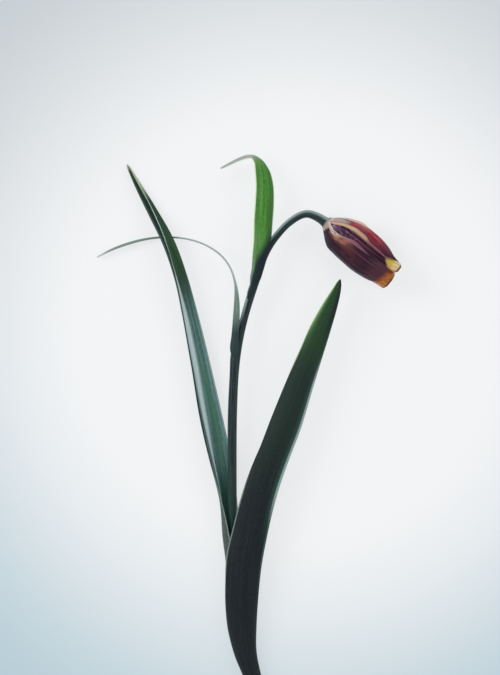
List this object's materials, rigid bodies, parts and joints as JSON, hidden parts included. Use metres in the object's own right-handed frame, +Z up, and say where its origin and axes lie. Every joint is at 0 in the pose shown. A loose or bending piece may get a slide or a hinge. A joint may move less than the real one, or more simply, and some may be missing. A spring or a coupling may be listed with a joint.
{
  "type": "fritillary flower",
  "caption": "Picked fritillary lying down: a nodding purple-brown bell with yellow-tipped tepals on a curved stem, with channelled blue-green leaves and a small bright green one.",
  "frame": {"origin": "middle of the lying flower's box, at the height of the surface it lies on", "axes": "+Y along the stem from the cut end towards the leaf tips, +X towards the side that the bell nods to, +Z up from the surface"},
  "size_m": [0.0979, 0.1778, 0.0134],
  "materials": {
    "stem_green": "satin",
    "leaf_green": "satin",
    "bract_green": "satin",
    "outer_purple": "satin",
    "inner_purple": "satin",
    "pollen_yellow": "matte"
  },
  "bodies": {
    "root": {"stem": "stem_green", "leaf_front": "leaf_green", "leaf_left": "leaf_green", "leaf_thin": "leaf_green", "leaf_upper": "bract_green", "tepal_outer_1": "outer_purple", "tepal_outer_2": "outer_purple", "tepal_outer_3": "outer_purple", "tepal_inner_1": "inner_purple", "tepal_inner_2": "inner_purple", "tepal_inner_3": "inner_purple", "pistil_and_stamens": "pollen_yellow"}
  },
  "joints": []
}
